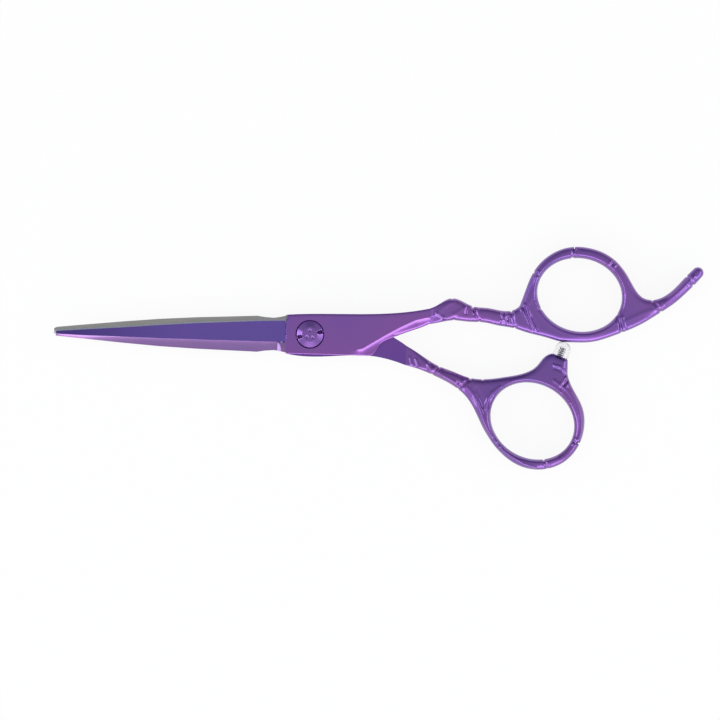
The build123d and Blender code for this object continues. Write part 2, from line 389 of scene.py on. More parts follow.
def noise(tree, scale, detail=3.0, stretch=(1, 1, 1)):
    """Noise fixed to the object, at a scale counted per metre."""
    place = node(tree, "ShaderNodeTexCoord")
    grow = node(tree, "ShaderNodeMapping")
    grow.inputs["Scale"].default_value = stretch
    tree.links.new(place.outputs["Object"], grow.inputs["Vector"])
    made = node(tree, "ShaderNodeTexNoise")
    made.inputs["Scale"].default_value = scale
    made.inputs["Detail"].default_value = detail
    tree.links.new(grow.outputs["Vector"], made.inputs["Vector"])
    return made.outputs["Fac"]


def spread(tree, value, low, high):
    """A noise value spread over a narrower range."""
    made = node(tree, "ShaderNodeMapRange")
    made.inputs["From Min"].default_value = 0.3
    made.inputs["From Max"].default_value = 0.7
    made.inputs["To Min"].default_value = low
    made.inputs["To Max"].default_value = high
    tree.links.new(value, made.inputs["Value"])
    return made.outputs["Result"]


def tint(tree, value, dark, light):
    """A mix of two colours by a value."""
    made = node(tree, "ShaderNodeMix", data_type="RGBA")
    made.inputs["A"].default_value = (*dark, 1)
    made.inputs["B"].default_value = (*light, 1)
    tree.links.new(value, made.inputs["Factor"])
    return made.outputs["Result"]


def bump(tree, value, height, strength):
    """A bumped normal, with the height of the bumps in metres."""
    made = node(tree, "ShaderNodeBump")
    made.inputs["Distance"].default_value = height
    made.inputs["Strength"].default_value = strength
    tree.links.new(value, made.inputs["Height"])
    return made.outputs["Normal"]


def violet_coat(name, dark, light, rough, grain=EVEN, weight=1.0):
    """Violet vapour-deposited coat on polished steel."""
    material, tree, main = shader(name)
    drift = spread(tree, noise(tree, DRIFT, 2), 0, 1)
    tree.links.new(tint(tree, drift, dark, light), main.inputs["Base Color"])
    stretch, scale = grain
    polish = noise(tree, scale, 4, stretch)
    tree.links.new(spread(tree, polish, rough - 0.05, rough + 0.06), main.inputs["Roughness"])
    tree.links.new(bump(tree, polish, 8e-7, 0.06), main.inputs["Normal"])
    main.inputs["Metallic"].default_value = 1.0
    main.inputs["Coat Weight"].default_value = weight
    main.inputs["Coat Roughness"].default_value = 0.12
    return material


def bare_steel(name, dark, light, rough, grain):
    """Bare metal with fine scratches along one direction."""
    material, tree, main = shader(name)
    stretch, scale = grain
    lines = noise(tree, scale, 5, stretch)
    tree.links.new(tint(tree, lines, dark, light), main.inputs["Base Color"])
    tree.links.new(spread(tree, lines, rough - 0.06, rough + 0.08), main.inputs["Roughness"])
    tree.links.new(bump(tree, lines, 4e-6, 0.5), main.inputs["Normal"])
    main.inputs["Metallic"].default_value = 1.0
    return material


def clear_plastic():
    """Clear moulded plastic with a faint haze."""
    material, tree, main = shader("clear_rubber")
    haze = noise(tree, FINE, 3)
    tree.links.new(tint(tree, haze, (0.86, 0.86, 0.87), (0.97, 0.97, 0.98)), main.inputs["Base Color"])
    tree.links.new(spread(tree, haze, 0.05, 0.16), main.inputs["Roughness"])
    main.inputs["Transmission Weight"].default_value = 1.0
    main.inputs["IOR"].default_value = 1.45
    return material


def masked_coat():
    """Violet outside, darkened as painted shade, and ground bare along the inside face of the blade."""
    material, tree, main = shader("violet_coat_ground_face_painted_shade")
    place = node(tree, "ShaderNodeTexCoord")
    where = node(tree, "ShaderNodeSeparateXYZ")
    tree.links.new(place.outputs["Object"], where.inputs["Vector"])
    facing = node(tree, "ShaderNodeSeparateXYZ")
    tree.links.new(place.outputs["Normal"], facing.inputs["Vector"])
    ahead = node(tree, "ShaderNodeMath", operation="LESS_THAN")
    ahead.inputs[1].default_value = BARE_END * MM
    tree.links.new(where.outputs["X"], ahead.inputs[0])
    upward = node(tree, "ShaderNodeMath", operation="GREATER_THAN")
    upward.inputs[1].default_value = 0.5
    tree.links.new(facing.outputs["Z"], upward.inputs[0])
    both = node(tree, "ShaderNodeMath", operation="MULTIPLY")
    tree.links.new(ahead.outputs[0], both.inputs[0])
    tree.links.new(upward.outputs[0], both.inputs[1])
    # This violet is darker than the front member's coat: painted shade.
    violet = tint(tree, spread(tree, noise(tree, DRIFT, 2), 0, 1),
                  (0.12, 0.052, 0.33), (0.17, 0.060, 0.33))
    stretch, scale = GROUND_X
    lines = noise(tree, scale, 5, stretch)
    steel = tint(tree, lines, (0.20, 0.20, 0.19), (0.36, 0.36, 0.35))
    choose = node(tree, "ShaderNodeMix", data_type="RGBA")
    tree.links.new(both.outputs[0], choose.inputs["Factor"])
    tree.links.new(violet, choose.inputs["A"])
    tree.links.new(steel, choose.inputs["B"])
    tree.links.new(choose.outputs["Result"], main.inputs["Base Color"])
    tree.links.new(spread(tree, lines, 0.22, 0.36), main.inputs["Roughness"])
    main.inputs["Metallic"].default_value = 1.0
    main.inputs["Coat Weight"].default_value = 0.5
    main.inputs["Coat Roughness"].default_value = 0.15
    return material


def washer_polymer():
    """Milky moulded polymer with a faint mottle."""
    material, tree, main = shader("washer_polymer")
    mottle = noise(tree, MOTTLE, 4)
    tree.links.new(tint(tree, mottle, (0.66, 0.65, 0.62), (0.80, 0.79, 0.76)), main.inputs["Base Color"])
    tree.links.new(spread(tree, mottle, 0.38, 0.52), main.inputs["Roughness"])
    tree.links.new(bump(tree, mottle, 3e-6, 0.3), main.inputs["Normal"])
    return material


def threaded_steel():
    """Steel with the fine turns of a cut thread, bumped, with painted shade darkening each turn's groove."""
    material, tree, main = shader("threaded_steel")
    place = node(tree, "ShaderNodeTexCoord")
    lean = node(tree, "ShaderNodeMapping")
    lean.inputs["Rotation"].default_value = (0, 0, math.radians(LEAN))
    tree.links.new(place.outputs["Object"], lean.inputs["Vector"])
    turns = node(tree, "ShaderNodeTexWave", bands_direction="Y")
    turns.inputs["Scale"].default_value = THREAD
    turns.inputs["Distortion"].default_value = 0.4
    tree.links.new(lean.outputs["Vector"], turns.inputs["Vector"])
    groove = turns.outputs["Fac"]
    # The low part of each turn is painted dark: painted shade in the groove.
    tree.links.new(tint(tree, groove, (0.10, 0.10, 0.11), (0.60, 0.60, 0.62)), main.inputs["Base Color"])
    tree.links.new(bump(tree, groove, 8e-5, 0.8), main.inputs["Normal"])
    main.inputs["Metallic"].default_value = 1.0
    main.inputs["Roughness"].default_value = 0.3
    return material


coat_plate = violet_coat("violet_coat_plate", (0.180, 0.066, 0.365), (0.245, 0.070, 0.335), 0.24,
                         BRUSHED_X)
# The blade's upper and lower facets are one coat in two colours, matched to how each facet is lit: bluer
# painted shade on the upper, paler lilac painted light on the lower.
upper_facet_painted_shade = violet_coat("violet_coat_upper_painted_shade", (0.155, 0.085, 0.430), (0.180, 0.088, 0.490), 0.22,
                         BRUSHED_X)
lower_facet_painted_light = violet_coat("violet_coat_lower_painted_light", (0.180, 0.095, 0.300), (0.235, 0.115, 0.300), 0.22,
                         BRUSHED_X)
coat_cast = violet_coat("violet_coat_cast", (0.160, 0.066, 0.365), (0.215, 0.070, 0.345), 0.32)
# The rear handle's coat is darker than the front's: painted shade.
rear_coat_painted_shade = violet_coat("violet_coat_rear_painted_shade", (0.130, 0.055, 0.320), (0.190, 0.062, 0.320), 0.32)
# Dark violet for the screw's slots: painted shade in the recesses.
coat_shadow = violet_coat("violet_slot_painted_shade", (0.035, 0.012, 0.075), (0.060, 0.020, 0.110), 0.45,
                          weight=0.0)
coat_screw = violet_coat("violet_coat_screw", (0.170, 0.072, 0.340), (0.230, 0.085, 0.400), 0.14)
rear_blade_coat_painted_shade = masked_coat()
ground_steel = bare_steel("ground_steel", (0.34, 0.34, 0.34), (0.46, 0.46, 0.46), 0.30, GROUND_X)
brass = bare_steel("turned_brass", (0.52, 0.36, 0.13), (0.68, 0.48, 0.20), 0.28, TURNED_Z)
honed_steel = bare_steel("honed_steel", (0.70, 0.70, 0.72), (0.85, 0.85, 0.87), 0.20, GROUND_Y)
stud_steel = threaded_steel()
clear_rubber = clear_plastic()
pale_polymer = washer_polymer()


# ------------------------------------------------------------------ blades

# Stations of the front blade, tip to heel: x, then the y of its cutting edge,
# ridge and spine, then the ridge's and the spine's height over the inside face.
BLADE = np.array((
    (-67.8, 0.15, -0.55, -0.80, 0.55, 0.45),
    (-67.2, 0.45, -0.62, -1.14, 0.85, 0.60),
    (-66.0, 0.55, -0.70, -1.28, 0.98, 0.62),
    (-60.0, 0.95, -0.97, -1.86, 1.25, 0.68),
    (-50.0, 1.60, -1.20, -2.80, 1.50, 0.75),
    (-40.0, 2.35, -1.50, -3.62, 1.70, 0.80),
    (-30.0, 3.00, -1.70, -4.18, 1.85, 0.85),
    (-20.0, 3.45, -1.90, -4.55, 2.00, 0.90),
    (-14.0, 3.75, -2.00, -4.78, 2.06, 0.95),
    (-12.0, 3.80, -2.02, -4.46, 2.08, 1.05),
    (-9.5, 3.88, -2.05, -4.28, 2.10, 1.20),
    (-7.8, 3.92, -2.08, -4.55, 2.12, 1.40),
    (-6.0, 3.95, -2.10, -5.00, 2.15, 1.60),
))
EDGE, RIDGE, SPINE, CROWN, BACK = range(1, 6)
# How many points follow the edge and the spine.
BLADE_STEPS = 190
# The honed bevel along the cutting edge.
BEVEL_W = 0.38
BEVEL_H = 0.30
# The inside face is hollow: how deep, how flat its curve is, where it is cut off,
# and the distances from the pivot over which it fades in.
HOLLOW = 0.15
HOLLOW_POWER = 0.8
HOLLOW_MAX = 0.12
HOLLOW_FADE = (8, 11)
# The lower facet is slightly hollow, and climbs towards the plate near the heel.
FALL_POWER = 0.88
CLIMB_X = (-9.0, -7.3)
CLIMB_H = 0.62
# Where the ground facets end in a step against the plate.
RUN_OUT_X = (HEEL_X - 0.25, HEEL_X + 0.05)
# The plate's outline: how far under its top the CAD is cut, the spacing of its
# points, and where it starts behind the heel.
PLATE_CUT = 1.2
PLATE_SPACING = 0.22
PLATE_START = HEEL_X + 0.4
# The bore in the plate that takes the screw head.
BORE_R = HEAD_R + 0.1
# The plate's rounded edges: how wide on the +Y and -Y sides, and how deep as a
# share of that.
PLATE_ROUND_W = (0.8, 0.3)
PLATE_ROUND_DROP = 0.62
# The facets stay this far under the plate, and an edge is at least this thick.
SLIVER = 0.02


def station(x, column):
    """A column of the blade's table at x."""
    return np.interp(x, BLADE[:, 0], BLADE[:, column])


def blade_height(x, y):
    """Height of the blade's outer facets over its inside face."""
    edge, ridge, spine = station(x, EDGE), station(x, RIDGE), station(x, SPINE)
    crown, back = station(x, CROWN), station(x, BACK)
    bevel = np.clip((edge - y) / BEVEL_W, 0, 1) * BEVEL_H
    rise = np.clip((edge - BEVEL_W - y) / (edge - BEVEL_W - ridge), 0, 1) * (crown - BEVEL_H)
    fall = np.clip((ridge - y) / (ridge - spine), 0, 1) ** FALL_POWER * (crown - back)
    climb = np.where(y < ridge, smooth_step(x, *CLIMB_X) * CLIMB_H, 0)
    return np.minimum(bevel + rise - fall + climb, PLATE_T - SLIVER)


def blade_outline():
    """The front blade from above: its cutting edge, its plate and neck, its spine."""
    cut = slice_loops("front_blade", PLATE_TOP - PLATE_CUT)[0]
    plate = soften(resample(cut, PLATE_SPACING), 1)
    keep = plate[plate[:, 0] > PLATE_START]
    gaps = np.hypot(*(np.roll(keep, -1, 0) - keep).T)
    keep = np.roll(keep, -(int(np.argmax(gaps)) + 1), 0)
    if keep[0][1] < keep[-1][1]:
        keep = keep[::-1]
    ground = BLADE[BLADE[:, 0] < HEEL_X, 0]
    along = np.unique(np.r_[np.linspace(BLADE[0, 0], HEEL_X, BLADE_STEPS), ground])
    edge = np.c_[along, station(along, EDGE)]
    spine = np.c_[along, station(along, SPINE)]
    return np.vstack([edge, keep, spine[::-1]])


# The crest where the flat plate breaks into the neck's swept flank. It fades in
# and out between the two pairs of x, and falls to a depth over a reach.
SWOOSH = dense(((9, -4.9), (12, -4.1), (14, -3.6), (16, -2.4), (20, 0), (24, 2.2), (28, 4.1),
                (31.5, 4.9), (33.8, 5.9), (37.0, 6.6)), 0.4)
SWOOSH_IN = (9.5, 14)
SWOOSH_OUT = (31.5, 36.5)
SWOOSH_DEPTH = 1.6
SWOOSH_REACH = 1.9
# Mesh edges follow the crest between these two x. Then the spacing of points along
# the ridge and bevel, the spacing of the grid, and the depths of the rim's rings.
CREST_X = (10, FRONT_WELD - 0.3)
CREASE_SPACING = 0.5
BLADE_SPACING = 0.3
BLADE_RIM = (0.08, 0.18, 0.3, 0.45, 0.62)


def swept_flank(points):
    """How far the neck's flank falls below the flat plate, fading out at both ends."""
    flank, side = path_distance(points, SWOOSH)
    x = points[:, 0]
    shown = smooth_step(x, *SWOOSH_IN) * (1 - smooth_step(x, *SWOOSH_OUT))
    below = np.where(side < 0, flank, 0)
    return SWOOSH_DEPTH * (1 - np.exp(-below * shown / SWOOSH_REACH))


def front_blade():
    """The upper blade with its pivot plate and the swept flank of its neck."""
    outline = blade_outline()
    bore = circle(BORE_R, 96)
    base = PLATE_TOP - PLATE_T
    rims = free_rims([outline], FRONT_WELD)

    def top(points):
        x, y = points[:, 0], points[:, 1]
        width = np.where(y > 0, *PLATE_ROUND_W)
        near = np.clip(1 - rim_distance(points, rims) / width, 0, 1)
        flat = PLATE_T - PLATE_ROUND_DROP * width * quarter_round(near, ROUND_LIMIT)
        flat = flat - swept_flank(points)
        run_out = smooth_step(x, *RUN_OUT_X)
        return base + np.maximum(blade_height(x, y) * (1 - run_out) + flat * run_out, SLIVER)

    def bottom(points):
        x, y = points[:, 0], points[:, 1]
        edge, spine = station(x, EDGE), station(x, SPINE)
        across = np.clip((edge - y) / (edge - spine), 0, 1)
        dish = HOLLOW * np.sin(math.pi * across) ** HOLLOW_POWER * smooth_step(-x, *HOLLOW_FADE)
        return base + np.minimum(dish, HOLLOW_MAX)

    stops = np.r_[BLADE[BLADE[:, 0] < HEEL_X, 0], RUN_OUT_X[0]]
    ridge = dense(np.c_[stops, station(stops, RIDGE)][1:], CREASE_SPACING)
    bevel = dense(np.c_[stops, station(stops, EDGE) - BEVEL_W][1:], CREASE_SPACING)
    crest = SWOOSH[(SWOOSH[:, 0] > CREST_X[0]) & (SWOOSH[:, 0] < CREST_X[1])]
    piece = slab("front_blade_finished", [outline, bore], top, bottom,
                 BLADE_RIM, BLADE_SPACING, (ridge, bevel, crest))
    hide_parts("front_blade")
    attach(piece, "front_member")
    return piece


FRONT_FINISHES = (coat_plate, upper_facet_painted_shade, lower_facet_painted_light, honed_steel, ground_steel)
PLATE_FINISH, UPPER_SHADE_FINISH, LOWER_LIGHT_FINISH, HONED_FINISH, INSIDE_FINISH = range(5)
# Beyond this x the tip is all honed bevel.
TIP_X = -67.4
FACES_DOWN = -0.5


def front_finish(piece):
    """Honed bevel, plate and inside face each take their own finish; the upper and lower facets take one
    coat, with painted shade on the upper and painted light on the lower.
    """
    for material in FRONT_FINISHES:
        piece.data.materials.append(material)
    for face in piece.data.polygons:
        x, y, _ = face.center / MM
        if face.normal.z < FACES_DOWN:
            face.material_index = INSIDE_FINISH if x < BARE_END else PLATE_FINISH
        elif x >= HEEL_X:
            face.material_index = PLATE_FINISH
        elif y > station(x, EDGE) - BEVEL_W or x < TIP_X:
            face.material_index = HONED_FINISH
        else:
            # Upper facet: the coat with painted shade; lower facet: the coat with painted light.
            face.material_index = UPPER_SHADE_FINISH if y > station(x, RIDGE) else LOWER_LIGHT_FINISH


# ----------------------------------------------------------------- handles

# Bamboo joints: each is a groove from one edge of the bar to the other.
FRONT_JOINTS = (
    ((43.1, 7.8), (44.8, 3.8)), ((53.2, 6.8), (54.2, 2.3)), ((56.5, 7.8), (58.9, 1.6)),
    ((59.0, 17.2), (61.6, 15.4)), ((69.8, 23.8), (69.3, 21.1)), ((80.4, 20.3), (78.4, 18.0)),
    ((82.6, 1.5), (81.2, 6.4)), ((92.9, 7.1), (90.6, 10.2)), ((101.4, 14.2), (99.6, 16.6)),
)
REAR_JOINTS = (
    ((32.4, -10.3), (34.4, -8.1)), ((39.3, -14.0), (42.6, -11.1)),
    ((49.6, -28.7), (52.0, -27.2)), ((63.3, -34.9), (62.3, -32.4)), ((71.5, -28.0), (69.0, -27.0)),
    ((68.4, -11.2), (66.4, -13.6)),
)


def ring_line(centre, half_axes, tilt, offset, start, end):
    """Points that follow an elliptical hole at a distance, between two angles."""
    turn = np.radians(np.linspace(start, end, 60))
    x = (half_axes[0] + offset) * np.cos(turn)
    y = (half_axes[1] + offset) * np.sin(turn)
    lean = math.radians(tilt)
    return np.c_[centre[0] + x * math.cos(lean) - y * math.sin(lean),
                 centre[1] + x * math.sin(lean) + y * math.cos(lean)]


# Each hole's centre, half axes and tilt in degrees.
FINGER_HOLE = ((71.3, 11.35), (11.3, 9.67), -12)
THUMB_HOLE = ((59.2, -22.2), (11.5, 9.76), -29)

# Raised and sunk strokes of the leaf pattern: path, height, half width.
FRONT_STROKES = (
    (((33.5, 6.0), (35.4, 4.8)), 0.38, 0.28), (((31.6, 5.3), (31.9, 7.9)), 0.22, 0.25),
    (((34.2, 6.6), (37.8, 9.3)), 0.20, 0.45), (((38.0, 5.6), (41.6, 7.9)), 0.22, 0.45),
    (((41.2, 6.0), (41.5, 7.6)), -0.3, 0.22), (((43.3, 5.6), (43.4, 6.6)), -0.25, 0.22),
    (((50.6, 5.9), (51.9, 3.9)), 0.34, 0.2), (((50.5, 4.1), (52.0, 5.8)), 0.34, 0.2),
    (((52.4, 4.1), (52.6, 5.1)), -0.28, 0.2), (((57.4, 6.6), (59.6, 2.2)), 0.34, 0.34),
    (((58.6, 5.3), (60.2, 2.0)), -0.34, 0.26), (((82.5, 5.4), (83.2, 2.4)), 0.42, 0.35),
    (((83.8, 4.6), (88.0, 6.6), (92.2, 8.2)), 0.24, 0.5), (((93.6, 9.2), (101.3, 16.4)), 0.30, 0.35),
    (((58.0, 9.0), (59.4, 12.0), (59.9, 15.6)), 0.24, 0.4),
    (ring_line(*FINGER_HOLE, 0.85, 20, 200), 0.24, 0.3),
    (ring_line(*FINGER_HOLE, 0.95, 205, 330), 0.24, 0.34),
)
REAR_STROKES = (
    (((25.7, -4.2), (26.3, -7.2)), -0.30, 0.3), (((26.5, -5.9), (26.9, -7.4)), 0.36, 0.26),
    (((28.2, -6.4), (29.0, -8.4)), 0.30, 0.25), (((31.4, -7.5), (31.9, -8.7)), 0.36, 0.32),
    (((32.0, -8.9), (32.6, -9.8)), 0.34, 0.28), (((33.6, -9.5), (38.6, -12.3)), 0.38, 0.36),
    (((39.3, -12.1), (40.0, -13.1)), -0.28, 0.22), (((36.0, -8.9), (41.5, -11.3)), -0.22, 0.3),
    (((42.0, -13.6), (43.5, -15.3), (44.7, -17.4), (45.5, -19.7), (46.5, -22.9), (48.2, -26.4)), 0.42, 0.34),
    (((44.2, -14.0), (45.4, -16.2), (46.2, -18.6)), -0.26, 0.5),
    (((50.4, -13.4), (48.3, -15.0), (47.3, -16.4), (46.9, -18.4), (47.0, -21.9), (48.0, -24.9)), 0.40, 0.3),
    (((64.6, -7.3), (66.4, -7.8), (68.0, -9.4)), 0.34, 0.24),
    (((64.8, -8.1), (66.2, -8.6), (67.6, -9.9)), -0.26, 0.26),
    (((64.8, -11.5), (68.0, -13.7), (70.0, -16.1), (71.5, -18.9), (72.1, -21.9),
      (72.2, -24.9), (71.5, -27.4)), 0.34, 0.32),
    (((51.5, -30.1), (54.0, -31.8), (57.0, -33.6), (60.0, -34.5)), 0.34, 0.28),
    (ring_line(*THUMB_HOLE, 0.75, 60, 175), 0.22, 0.3),
    (ring_line(*THUMB_HOLE, 0.8, 205, 330), 0.22, 0.3),
)


# A joint's groove and the lip on each side of it: depth, height, how far out
# the lip runs, the width of both, and how much of them is lost at the far end.
JOINT_DEPTH = 0.38
LIP_H = 0.24
LIP_OUT = 0.80
JOINT_W = 0.34
JOINT_FADE = 0.7
STROKE_BLUR = 0.12
# Relief under these heights is cut into the bar, above and below, and the rest
# is left level. The carving starts between two distances from the weld.
TOP_SINK = 0.34
UNDER_SINK = 0.24
CARVE_START = (0.1, 1.4)
# The rim's rounding grows over a length from the weld, from the first reach and
# drop to the second.
GROW = 7
ROUND_REACH = (0.6, 1.75)
ROUND_DROP = (0.35, 1.7)
CAST_LIMIT = 0.985
# The bar grows from its plate's thickness to full height over this length.
THICKEN = 10
# The heights at which the CAD handles are cut, as shares of their plate's top.
FRONT_CUT = 0.75
REAR_CUT = 0.5
OUTLINE_SPACING = 0.2
HANDLE_SPACING = 0.17
HANDLE_RIM = (0.05, 0.14, 0.27, 0.42, 0.6, 0.8)
STROKE_SPACING = 0.6


def relief(points, joints, strokes):
    """The carved pattern: joints with a raised lip on each side, and strokes."""
    height = np.zeros(len(points))
    for start, end in joints:
        gap, share = segment_distance(points, np.array(start), np.array(end))
        height -= JOINT_DEPTH * np.exp(-(gap / JOINT_W) ** 2) * (1 - JOINT_FADE * share)
        height += LIP_H * np.exp(-((gap - LIP_OUT) / JOINT_W) ** 2) * (1 - JOINT_FADE * share)
    for path, rise, width in strokes:
        gap, _ = path_distance(points, dense(path, STROKE_SPACING))
        height += rise * np.exp(-(gap / (width + STROKE_BLUR)) ** 2)
    return height


def handle(name, node_name, body, cut, top_at, bottom_at, joints, strokes, finish, lowered):
    """A cast handle: a rounded bar over its outline, carved on both faces.

    cut is the height at which the CAD node gives the outline; top_at, bottom_at
    and lowered say how high the bar is before it is rounded and carved.
    """
    rough = slice_loops(node_name, cut)[:2]
    weld = rough[0][:, 0].min()
    loops = [smooth_outline(loop, OUTLINE_SPACING, 2, weld) for loop in rough]
    rims = free_rims(loops, weld)

    def rounding(points):
        grown = smooth_step(points[:, 0], weld, weld + GROW)
        reach = ROUND_REACH[0] + (ROUND_REACH[1] - ROUND_REACH[0]) * grown
        drop = ROUND_DROP[0] + (ROUND_DROP[1] - ROUND_DROP[0]) * grown
        near = 1 - np.clip(rim_distance(points, rims) / reach, 0, 1)
        return drop * quarter_round(near, CAST_LIMIT)

    def carved(points, marks, sink):
        started = smooth_step(points[:, 0], weld + CARVE_START[0], weld + CARVE_START[1])
        return np.minimum((relief(points, joints, marks) - sink) * started, 0)

    def top(points):
        level = top_at(points[:, 0]) - rounding(points)
        return level + carved(points, strokes, TOP_SINK) - lowered(points)

    def bottom(points):
        return bottom_at(points[:, 0]) + rounding(points) - carved(points, (), UNDER_SINK)

    piece = slab(name, loops, top, bottom, HANDLE_RIM, HANDLE_SPACING, sharp=60)
    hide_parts(node_name)
    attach(piece, body)
    piece.data.materials.append(finish)


# ------------------------------------------------------------------- screw

# Two slots run from the head's rim inwards. Their walls lie between two distances
# from their middle lines, and the painted shade in the slots ends between those.
SLOTS = (((-3.6, -0.93), (-2.35, -0.62)), ((3.6, 0.83), (2.35, 0.55)))
SLOT_DEPTH = 0.45
SLOT_WALL = (0.30, 0.46)
SLOT_SHADE = 0.42
# Three round pits stand in a ring about a small one in the centre.
PIT_ANGLES = (90, 220, 310)
PIT_RING = 1.05
PIT_R = 0.42
PIT_DEPTH = 0.22
CENTRE_PIT = (0.12, 0.3)
CENTRE_PIT_DEPTH = 0.12
# The head is a nearly flat hub with a cone round it and a rounded rim.
HUB_R = 1.9
HUB_DROP = 0.08
CONE_DROP = 0.98
HEAD_ROUND = 0.2
HEAD_ROUND_DROP = 0.16
HEAD_SPACING = 0.13
HEAD_RIM = (0.04, 0.1, 0.2, 0.32)
# The crown's clearance in the object's box, the head's underside below the plate's
# top, its least thickness, and how far the shank goes up into it.
CROWN_GAP = 0.02
SEAT_DROP = 0.65
HEAD_LEAST = 0.05
OVERLAP = 0.1


def screw():
    """The tension screw: its sculpted head and its shank."""
    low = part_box("pivot_screw")[0].z / MM
    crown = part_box("pivot_screw")[1].z / MM
    seat = PLATE_TOP - SEAT_DROP

    def top(points):
        radius = np.hypot(points[:, 0], points[:, 1])
        hub = np.minimum(radius / HUB_R, 1) ** 2 * HUB_DROP
        cone = np.clip((radius - HUB_R) / (HEAD_R - HUB_R), 0, 1) * CONE_DROP
        near = np.clip((radius - HEAD_R + HEAD_ROUND) / HEAD_ROUND, 0, 1)
        height = crown - CROWN_GAP - hub - cone - HEAD_ROUND_DROP * quarter_round(near, ROUND_LIMIT)
        for start, end in SLOTS:
            gap, _ = segment_distance(points, np.array(start), np.array(end))
            height = height - SLOT_DEPTH * (1 - smooth_step(gap, *SLOT_WALL))
        for angle in PIT_ANGLES:
            turn = math.radians(angle)
            middle = np.array((PIT_RING * math.cos(turn), PIT_RING * math.sin(turn)))
            gap = np.hypot(*(points - middle).T)
            height = height - PIT_DEPTH * np.sqrt(np.clip(1 - (gap / PIT_R) ** 2, 0, 1))
        height = height - CENTRE_PIT_DEPTH * (1 - smooth_step(radius, *CENTRE_PIT))
        return np.maximum(height, seat + HEAD_LEAST)

    def bottom(points):
        return np.full(len(points), seat)

    rim = circle(HEAD_R, 110)
    head = slab("screw_head", [rim], top, bottom, HEAD_RIM, HEAD_SPACING, sharp=38)
    head.data.materials.append(coat_screw)
    head.data.materials.append(coat_shadow)
    # Faces down in the slots take the painted shade.
    for face in head.data.polygons:
        spot = np.array([face.center[:2]]) / MM
        gap = min(segment_distance(spot, np.array(a), np.array(b))[0][0] for a, b in SLOTS)
        if gap < SLOT_SHADE and face.center.z / MM > seat + OVERLAP:
            face.material_index = 1

    # The shank's foot is chamfered, and it is narrower inside the bush.
    profile = ((0, low), (1.6, low), (1.75, low + 0.15), (1.75, 2.4), (2.0, 2.45),
               (2.0, seat + OVERLAP), (0, seat + OVERLAP))
    bm = bmesh.new()
    lathe(bm, profile, 48, lambda x, y, z: (x * MM, y * MM, z * MM))
    shank = finish_mesh("screw_shank", bm, 30)
    shank.data.materials.append(coat_screw)
    for piece in (head, shank):
        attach(piece, "tension_screw")
        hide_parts("pivot_screw")


# ------------------------------------------------------------------ bumper

# The bumper's seat on its post, and the dome's outline as radius and height over
# the seat, starting inside the stud's bore.
SEAT = (66.3, -5.0)
DOME = (
    (0, 2.3), (0.8, 2.3), (0.8, 0), (1.88, 0), (2.0, 0.04), (2.08, 0.12), (2.1, 0.22), (2.1, 0.8),
    (2.1, 1.4), (2.08, 1.8), (2.03, 2.2), (1.93, 2.6), (1.79, 3.0), (1.6, 3.32), (1.34, 3.6),
    (1.04, 3.78), (0.72, 3.89), (0.36, 3.94), (0, 3.95),
)


def bumper():
    """The clear dome pushed over its threaded stud."""
    lean = math.radians(LEAN)
    out = np.array((math.sin(lean), math.cos(lean)))
    across = np.array((math.cos(lean), -math.sin(lean)))

    def place(x, y, height):
        spot = np.array(SEAT) + across * x + out * height
        return (spot[0] * MM, spot[1] * MM, (CONTACT - y) * MM)

    bm = bmesh.new()
    lathe(bm, DOME, 72, place)
    piece = finish_mesh("bumper_dome", bm, 35)
    piece.data.materials.append(clear_rubber)
    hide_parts("bumper")
    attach(piece, "rear_member")


# ------------------------------------------------------------ whole object

def handles():
    """Both handles; each grows from its plate's thickness to the full height."""
    rear_top = PLATE_T
    front_low = PLATE_TOP - PLATE_T

    def grown(x, weld):
        return np.clip((x - weld) / THICKEN, 0, 1)

    handle("front_handle_cast", "front_handle", "front_member", PLATE_TOP * FRONT_CUT,
           lambda x: np.full(len(x), PLATE_TOP),
           lambda x: front_low * (1 - grown(x, FRONT_WELD)),
           FRONT_JOINTS, FRONT_STROKES, coat_cast, swept_flank)
    handle("rear_handle_cast", "rear_handle", "rear_member", rear_top * REAR_CUT,
           lambda x: rear_top + (PLATE_TOP - rear_top) * grown(x, REAR_WELD),
           lambda x: np.zeros(len(x)),
           REAR_JOINTS, REAR_STROKES, rear_coat_painted_shade, lambda points: 0)


def carry_over():
    """Finishes for the CAD nodes that are kept as they are."""
    finish = {
        "rear_blade": rear_blade_coat_painted_shade,
        "spring_washer": ground_steel,
        "glide_washer": pale_polymer,
        "thread_bush": brass,
        "bumper_stud": stud_steel,
    }
    for name, material in finish.items():
        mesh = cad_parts[name].data
        mesh.materials.clear()
        mesh.materials.append(material)


# ------------------------------------------------------------------- stage

FLOOR_HALF = 1.2
FLOOR_DROP = 0.0005
# The share of the floor that is plain glow to the camera and in reflections; the
# rest takes the shadow.
FLOOR_GLOW = 0.9


